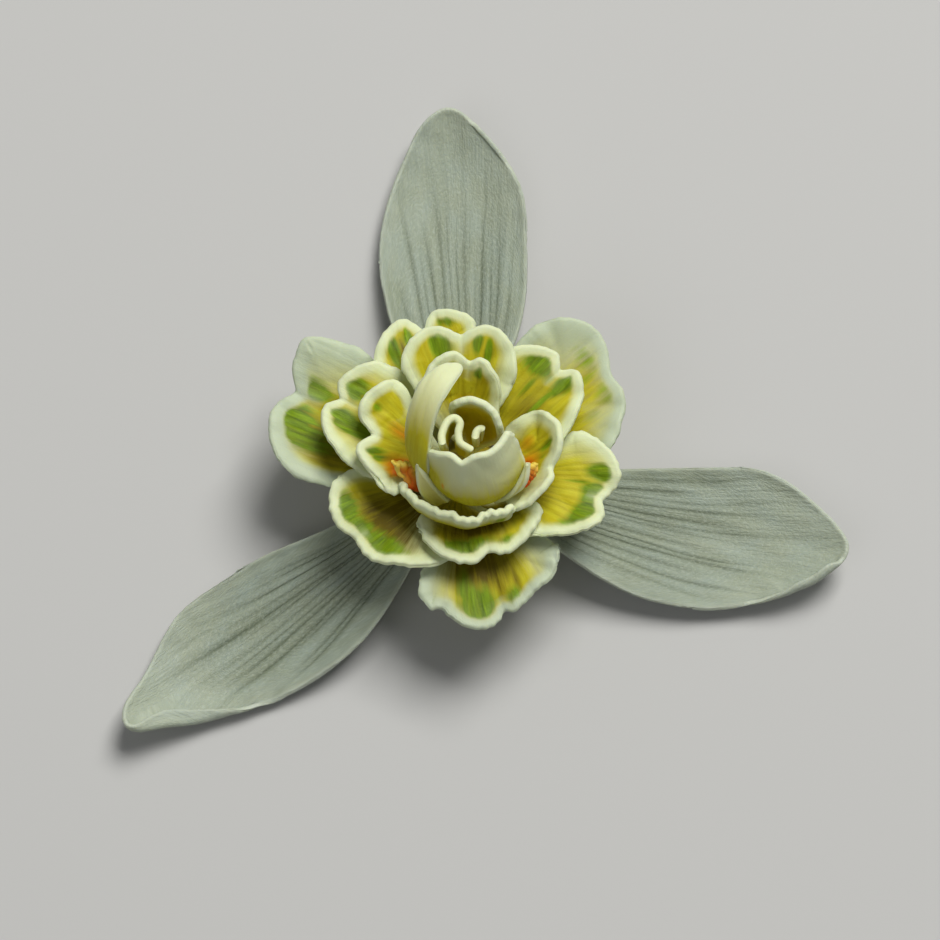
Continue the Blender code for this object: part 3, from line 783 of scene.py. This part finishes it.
def uneven(blade, points, vein, folds, random):
    """The surface with its veins, creases, swells, waves and scallops."""
    make = blade.make
    normals = surface_normals(points)
    outline = Outline(points, normals)
    edge, place = outline.nearest(points)
    length, side = own_places(points)
    by_rim = near_rim(edge, length, CRINKLE_REACH)
    lift = make.swells * swell_noise(random, length, side) - make.vein_depth * vein - NOTCH_GROOVE * folds
    lift += make.waves * uneven_waves(random, place, WAVE_PITCH) * near_rim(edge, length, WAVE_REACH)
    lift += make.crinkles * uneven_waves(random, place, CRINKLE_PITCH) * by_rim
    lift += make.arch * (1 - blade.lane**2)
    for start, end, height, reach in CREASES.get(blade.name, ()):
        lift += height * crease(blade, start, end, reach)
    frill = make.frill * uneven_waves(random, place, CRINKLE_PITCH) * by_rim
    return points + normals * lift[..., None] + outline.at(place, outline.outward) * frill[..., None]


def painted(blade, edge, vein, folds):
    """What the material reads at each place: how near to the rim it is, how deep in a vein, and the marks."""
    make = blade.make
    inside = smooth_step((edge - make.pale_rim) / make.fade)
    rim = 1 - smooth_step((edge - make.pale_rim / 2) / make.fade)
    values = {"rim": np.maximum(rim, NOTCH_PALENESS * folds), "vein": vein}
    for colour in PAINTS:
        values[colour] = np.zeros_like(edge)
    for colour, marks in MARKS.get(blade.name, {}).items():
        for mark in marks:
            place_u, place_v, reach_u, reach_v, strength = np.array(mark) / 100
            along = (blade.u - place_u) / reach_u
            along = np.where(along < 0, along / INWARD, along)
            spot = strength * np.exp(-along**2 - ((blade.v - place_v) / reach_v) ** 2)
            values[colour] = np.maximum(values[colour], inside * spot)
    return values


def build_blade(blade, points, random):
    """The closed mesh of a blade from its middle surface."""
    vein = vein_pattern(blade, random)
    folds = notch_folds(blade)
    points = uneven(blade, push_outline(blade.name, points), vein, folds, random)
    margin = np.concatenate((points[-1], points[:, 0], points[:, -1]))
    edge = distance_to(points, margin)[0]
    closed_edge = np.minimum(edge, distance_to(points, points[0])[0])
    points = fold_margin(blade.name, points)
    half = surface_normals(points) * half_thickness(closed_edge, blade.make)[..., None]
    return join_faces(blade, points + half, points - half, painted(blade, edge, vein, folds))


def join_faces(blade, upper, lower, values):
    """One closed mesh from the two faces of a blade, which meet along its whole outline."""
    rows, columns = blade.u.shape
    top = np.arange(rows * columns).reshape(rows, columns)
    bottom = top.copy()
    bottom[1:-1, 1:-1] = rows * columns + np.arange((rows - 2) * (columns - 2)).reshape(rows - 2, columns - 2)

    def quads(index):
        corners = (index[:-1, :-1], index[1:, :-1], index[1:, 1:], index[:-1, 1:])
        return np.stack(corners, axis=-1).reshape(-1, 4)

    def on_both(grid, below=1.0):
        return np.concatenate((grid.ravel(), below * grid[1:-1, 1:-1].ravel()))

    points = np.concatenate((upper.reshape(-1, 3), lower[1:-1, 1:-1].reshape(-1, 3)))
    faces = np.concatenate((quads(top)[:, ::-1], quads(bottom))).tolist()
    length = np.linalg.norm(upper[-1, columns // 2] - upper[0, columns // 2])
    half_width = np.linalg.norm(upper[rows // 2, -1] - upper[rows // 2, 0]) / 2
    flat = np.stack((on_both(blade.lane * half_width), on_both(blade.u * length)), axis=-1)
    values = {name: on_both(grid, 0.0 if name == ONE_SIDED else 1.0) for name, grid in values.items()}
    return write_mesh(blade.name + "_blade", points, faces, values, flat)


def write_mesh(name, points, faces, values, flat):
    """A smooth mesh from points round the flower's axis, with its attributes and its flat map."""
    mesh = bpy.data.meshes.new(name)
    mesh.from_pydata(((points + (*AXIS, 0)) * MM).tolist(), [], faces)
    for attribute, data in values.items():
        mesh.attributes.new(attribute, "FLOAT", "POINT").data.foreach_set("value", data.astype(np.float32))
    corners = np.zeros(len(mesh.loops), dtype=np.int32)
    mesh.loops.foreach_get("vertex_index", corners)
    mesh.uv_layers.new(name="UVMap").data.foreach_set("uv", flat[corners].astype(np.float32).ravel())
    mesh.shade_smooth()
    mesh.update()
    return mesh


# Materials

class Finish:
    """A material, with short calls for the nodes that it is built from."""

    def __init__(self, name, roughness, specular):
        self.material = bpy.data.materials.new(name)
        self.material.use_nodes = True
        self.tree = self.material.node_tree
        self.shader = self.tree.nodes["Principled BSDF"]
        self.shader.inputs["Roughness"].default_value = roughness
        self.shader.inputs["Specular IOR Level"].default_value = specular

    def node(self, kind, *inputs, **settings):
        made = self.tree.nodes.new("ShaderNode" + kind)
        for setting, value in settings.items():
            setattr(made, setting, value)
        for place, value in enumerate(inputs):
            self.feed(made.inputs[place], value)
        return made

    def feed(self, socket, value):
        if value is None:
            return
        if isinstance(value, bpy.types.NodeSocket):
            self.tree.links.new(value, socket)
        elif isinstance(value, tuple) and socket.type == "RGBA":
            socket.default_value = (*value, 1.0)
        else:
            socket.default_value = value

    def attribute(self, name):
        return self.node("Attribute", attribute_name=name).outputs["Fac"]

    def mix(self, factor, first, second):
        made = self.node("Mix", data_type="RGBA")
        self.feed(made.inputs[0], factor)
        self.feed(made.inputs[6], first)
        self.feed(made.inputs[7], second)
        return made.outputs[2]

    def math(self, operation, first, second, third=None, clamp=False):
        return self.node("Math", first, second, third, operation=operation, use_clamp=clamp).outputs[0]

    def times(self, value, weight):
        return self.math("MULTIPLY", value, weight)

    def ramp(self, value, slope, offset):
        """A share from 0 to 1 that rises with the value."""
        return self.math("MULTIPLY_ADD", value, slope, offset, clamp=True)

    def flat_map(self):
        return self.node("UVMap", uv_map="UVMap").outputs[0]

    def from_heel(self):
        """How far a place is from the heel, in millimetres."""
        return self.node("SeparateXYZ", self.flat_map()).outputs[1]

    def noise(self, stretch, detail, rough=0.5):
        """Noise on the blade's own flat map, with so many waves to the millimetre across and along it."""
        stretched = self.node("Mapping", self.flat_map())
        stretched.inputs["Scale"].default_value = (*stretch, 1.0)
        made = self.node("TexNoise", stretched.outputs[0])
        made.inputs["Scale"].default_value = 1.0
        made.inputs["Detail"].default_value = detail
        made.inputs["Roughness"].default_value = rough
        return made.outputs["Fac"]

    def bump(self, height, distance, strength, under=None):
        """Relief this many millimetres high."""
        made = self.node("Bump")
        made.inputs["Strength"].default_value = strength
        made.inputs["Distance"].default_value = distance * MM
        self.feed(made.inputs["Height"], height)
        self.feed(made.inputs["Normal"], under)
        return made.outputs[0]

    def translucent(self, weight, radius):
        """Light that enters the tissue and spreads this many millimetres."""
        self.shader.inputs["Subsurface Weight"].default_value = weight
        self.shader.inputs["Subsurface Radius"].default_value = (1.0, 0.8, 0.4)
        self.shader.inputs["Subsurface Scale"].default_value = radius * MM

    def finish(self, colour, normal=None):
        self.feed(self.shader.inputs["Base Color"], colour)
        self.feed(self.shader.inputs["Normal"], normal)
        return self.material


def petal_material(name, tissue=TISSUE, cream=CREAM):
    """Cream rim, pale tissue, and the marks laid over each other with streaks along the veins."""
    petal = Finish(name, roughness=0.50, specular=0.15)
    streaks = petal.noise((2.6, 0.22), detail=4.0, rough=0.65)
    mottle = petal.noise((3.5, 2.5), detail=3.0)
    cells = petal.noise((9.0, 6.0), detail=2.0)
    around = petal.math("SUBTRACT", streaks, 0.5)
    green = petal.mix(petal.ramp(around, slope=3.0, offset=0.5), GREEN_DARK, GREEN_LIGHT)
    yellow = petal.mix(petal.ramp(around, slope=2.2, offset=0.45), YELLOW_DEEP, YELLOW_PALE)
    # The olive paint also holds painted shade, and the paint of the cup's hollow is painted light
    paints = {"yellow": yellow, "olive_and_painted_shade": OLIVE_LINES_AND_PAINTED_SHADE, "green": green, "orange": ORANGE, "red": RED, "hollow_yellow_painted_light": CUP_HOLLOW_YELLOW_PAINTED_LIGHT}
    colour = petal.mix(petal.times(streaks, 0.5), tissue, cream)
    marked = 0.0
    for mark, (threshold, softness, streaky) in PAINTS.items():
        strength = petal.attribute(mark)
        broken = petal.math("MULTIPLY_ADD", around, petal.times(strength, streaky), strength)
        share = petal.math("DIVIDE", petal.math("SUBTRACT", broken, threshold), softness, clamp=True)
        colour = petal.mix(share, colour, paints[mark])
        marked = petal.math("MAXIMUM", marked, share)
    veins = petal.times(petal.attribute("vein"), petal.times(marked, 0.40))
    colour = petal.mix(veins, colour, OLIVE_LINES_AND_PAINTED_SHADE)
    rim = petal.mix(petal.times(mottle, 0.5), cream, tissue)
    colour = petal.mix(petal.attribute("rim"), colour, rim)
    normal = petal.bump(cells, 0.03, 0.5)
    normal = petal.bump(streaks, 0.08, 0.5, under=normal)
    petal.translucent(0.18, 0.5)
    return petal.finish(colour, normal)


def outer_material():
    """Greyish white ribs with darker veins between them, and the fine grain of their cells with painted
    glitter.
    """
    petal = Finish("outer_tepal", roughness=0.45, specular=0.35)
    streaks = petal.noise((2.2, 0.12), detail=4.0, rough=0.65)
    clouds = petal.noise((0.5, 0.25), detail=2.0)
    cells = petal.noise((7.0, 3.5), detail=3.0, rough=0.7)
    cool = petal.ramp(clouds, slope=3.0, offset=-1.2)
    # Specks of the cells' grain, lightened as painted glitter
    grain_and_painted_glints = petal.ramp(cells, slope=3.2, offset=-1.5)
    # Painted light: the outer tepals grow lighter towards their tips
    tip = petal.ramp(petal.from_heel(), slope=0.09, offset=-1.4)
    colour = petal.mix(streaks, OUTER_RIB, OUTER_SHADE)
    colour = petal.mix(petal.times(cool, 0.55), colour, OUTER_COOL)
    colour = petal.mix(petal.times(petal.attribute("vein"), 0.95), colour, OUTER_VEIN)
    # painted glitter
    colour = petal.mix(petal.times(grain_and_painted_glints, 0.42), colour, OUTER_RIM)
    # painted light towards the tip
    colour = petal.mix(petal.times(tip, 0.5), colour, OUTER_RIM)
    colour = petal.mix(petal.times(petal.attribute("rim"), 0.5), colour, OUTER_RIM)
    normal = petal.bump(cells, 0.10, 0.8)
    normal = petal.bump(streaks, 0.20, 0.7, under=normal)
    petal.translucent(0.15, 0.5)
    return petal.finish(colour, normal)


def anther_material():
    """Red at the foot, orange above, and a yellow edge round the head."""
    anther = Finish("anther", roughness=0.5, specular=0.3)
    grain = anther.noise((5.0, 2.0), detail=3.0, rough=0.7)
    height = anther.from_heel()
    orange = anther.math("MULTIPLY_ADD", grain, 0.9, anther.times(height, 0.25))
    colour = anther.mix(anther.math("SUBTRACT", orange, 0.38, clamp=True), RED, ORANGE)
    head = anther.ramp(height, slope=1.1, offset=-0.8)
    colour = anther.mix(anther.times(anther.attribute("rim"), head), colour, ANTHER_EDGE)
    anther.translucent(0.15, 0.4)
    return anther.finish(colour, anther.bump(grain, 0.10, 0.8))


def ovary_material():
    """Fresh green below, yellow on the crown inside the flower, and a pale cut."""
    ovary = Finish("ovary", roughness=0.38, specular=0.4)
    grain = ovary.noise((1.2, 0.8), detail=3.0)
    cells = ovary.noise((9.0, 7.0), detail=2.0)
    colour = ovary.mix(grain, OVARY_GREEN, OVARY_PALE)
    colour = ovary.mix(ovary.attribute("crown"), colour, CROWN_YELLOW)
    colour = ovary.mix(ovary.attribute("cut"), colour, STALK_CUT)
    ovary.translucent(0.15, 0.5)
    return ovary.finish(colour, ovary.bump(cells, 0.03, 0.5))


def floor_material():
    floor = Finish("floor", roughness=0.8, specular=0.2)
    return floor.finish(FLOOR_GREY)


# Pieces

def add_piece(mesh, node, material):
    mesh.materials.append(material)
    piece = add_object(mesh.name, mesh)
    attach(piece, "root")
    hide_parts(node)


def place_blade(name, shape, surface, make, material, random, gather=False):
    """One blade on its surface, with its columns gathered at the sides where the surface doesn't do that."""
    u = np.sin(np.linspace(0, math.pi / 2, make.rows + 1))
    v = np.linspace(-1, 1, make.columns + 1)
    if gather:
        v = np.sin(v * math.pi / 2)
    u, v = np.meshgrid(u, v, indexing="ij")
    lane = v if gather else np.sin(v * math.pi / 2)
    mesh = build_blade(Blade(name, shape, make, u, v, lane), surface(shape, u, v), random)
    add_piece(mesh, name, material)


def dress_tepals(random):
    materials = {
        "outer": outer_material(),
        "first": petal_material("inner_tepal_first_whorl", FIRST_WHORL_TISSUE, FIRST_WHORL_CREAM),
        "inner": petal_material("inner_tepal"),
        "cup": petal_material("cup_tepal", CUP_TISSUE),
    }
    for name, shape in TEPALS.items():
        kind = name.split("_")[0]
        make = MAKES.get(name, MAKES.get(kind, INNER))
        material = materials["first" if name.startswith("inner_tepal_1") else kind]
        place_blade(name, shape, tepal_surface, make, material, random)
    for name, shape in STRAPS.items():
        place_blade(name, shape, strap_surface, MAKES["strap"], materials["cup"], random)


def dress_middle(random):
    """The slips, anthers and curled ribbons between the whorls and in the cup."""
    tepaloid = petal_material("tepaloid", TEPALOID_TISSUE)
    anther = anther_material()
    for name, shape in SLIPS.items():
        make, material, slot = MAKES["slip"], tepaloid, "tepaloid"
        if name.startswith("anther"):
            make, material, slot = MAKES["anther"], anther, "anther"
        place_blade(name, shape, slip_surface, make, material, random, gather=True)
    for name, shape in RIBBONS.items():
        place_blade(name, shape, ribbon_surface, MAKES["ribbon"], tepaloid, random, gather=True)


def ovary_rings():
    """Rings of points round the axis down the ovary's outline, with faint ribs on the ovary itself."""
    profile = np.array(OUTLINE)
    run = length_along(profile)
    steps = np.linspace(0, run[-1], OVARY_RINGS)[1:-1]
    radius = np.interp(steps, run, profile[:, 0])
    height = np.interp(steps, run, profile[:, 1])
    angle = np.linspace(0, 2 * math.pi, OVARY_SIDES, endpoint=False)
    ribs = RIB_SHARE * np.cos(OVARY_RIBS * angle)[None] * smooth_step(OVARY_TOP - height)[:, None]
    ring = radius[:, None] * (1 + ribs)
    return np.stack((ring * np.cos(angle), ring * np.sin(angle), height[:, None] + 0 * ring), axis=-1)


def dress_ovary():
    """The receptacle, the ovary and the cut stalk again, with many sides."""
    rings = ovary_rings()
    ends = [(0, 0, OUTLINE[0][1]), (0, 0, OUTLINE[-1][1])]
    points = np.concatenate((rings.reshape(-1, 3), ends))
    index = np.arange(len(points) - 2).reshape(rings.shape[:2])
    after = np.roll(index, -1, axis=1)
    faces = np.stack((index[:-1], index[1:], after[1:], after[:-1]), axis=-1).reshape(-1, 4).tolist()
    top, bottom = len(points) - 2, len(points) - 1
    faces += [(top, int(a), int(b)) for a, b in zip(index[0], after[0])]
    faces += [(bottom, int(b), int(a)) for a, b in zip(index[-1], after[-1])]
    x, y, height = points.T
    is_cut = (height < CUT_TOP) & (np.hypot(x, y) < CUT_RADIUS)
    values = {"crown": smooth_step(height - CROWN_STARTS), "cut": is_cut.astype(float)}
    flat = np.stack((np.arctan2(y, x) * 2, height), axis=-1)
    mesh = write_mesh("ovary_turned", points, faces, values, flat)
    add_piece(mesh, "ovary", ovary_material())


# Stage

def add_object(name, data):
    thing = bpy.data.objects.new(name, data)
    bpy.context.scene.collection.objects.link(thing)
    return thing


def look_at(thing, target, azimuth, elevation, distance):
    """Make a light or the camera look at a point. Azimuth 0 is to the right, 90 behind the flower."""
    around, up = math.radians(azimuth), math.radians(elevation)
    away = Vector((math.cos(around) * math.cos(up), math.sin(around) * math.cos(up), math.sin(up)))
    thing.location = target + away * distance
    thing.rotation_euler = (-away).to_track_quat("-Z", "Y").to_euler()


def add_floor():
    mesh = bpy.data.meshes.new("floor")
    corners = [(x * FLOOR_REACH, y * FLOOR_REACH, 0) for x, y in ((-1, -1), (1, -1), (1, 1), (-1, 1))]
    mesh.from_pydata(corners, [], [(0, 1, 2, 3)])
    mesh.materials.append(floor_material())
    floor = add_object("floor", mesh)


def add_light(name, azimuth, elevation, distance, size, power, colour):
    """A square soft light that looks at the flower."""
    light = bpy.data.lights.new(name, "AREA")
    light.energy = power
    light.size = size
    light.color = colour
    look_at(add_object(name, light), Vector((0, 0, 0)), azimuth, elevation, distance)


def add_lights():
    add_light("key", azimuth=58, elevation=60, distance=0.8, size=0.38, power=6.2, colour=WARM)
    add_light("fill", azimuth=225, elevation=50, distance=0.9, size=0.6, power=0.8, colour=WHITE)
    world = bpy.data.worlds.new("studio")
    world.use_nodes = True
    background = world.node_tree.nodes["Background"]
    background.inputs["Color"].default_value = (*SKY, 1.0)
    background.inputs["Strength"].default_value = SKY_STRENGTH
    bpy.context.scene.world = world


def add_camera():
    lens = bpy.data.cameras.new("camera")
    lens.sensor_width = SENSOR
    lens.lens = SENSOR * CAMERA_DISTANCE / FRAME_WIDTH
    lens.clip_start = 0.01
    camera = add_object("camera", lens)
    look_at(camera, CAMERA_TARGET, CAMERA_AZIMUTH, CAMERA_ELEVATION, CAMERA_DISTANCE)
    bpy.context.scene.camera = camera


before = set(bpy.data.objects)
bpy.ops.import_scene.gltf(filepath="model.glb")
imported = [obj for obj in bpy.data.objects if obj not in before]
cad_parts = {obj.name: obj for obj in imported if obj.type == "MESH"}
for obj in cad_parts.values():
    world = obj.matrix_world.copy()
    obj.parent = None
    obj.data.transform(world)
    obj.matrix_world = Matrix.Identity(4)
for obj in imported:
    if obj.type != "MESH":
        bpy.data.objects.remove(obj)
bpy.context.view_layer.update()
add_camera()
add_lights()
add_floor()
growth = np.random.default_rng(SEED)
dress_tepals(growth)
dress_middle(growth)
dress_ovary()
bpy.context.scene.view_settings.view_transform = "Standard"
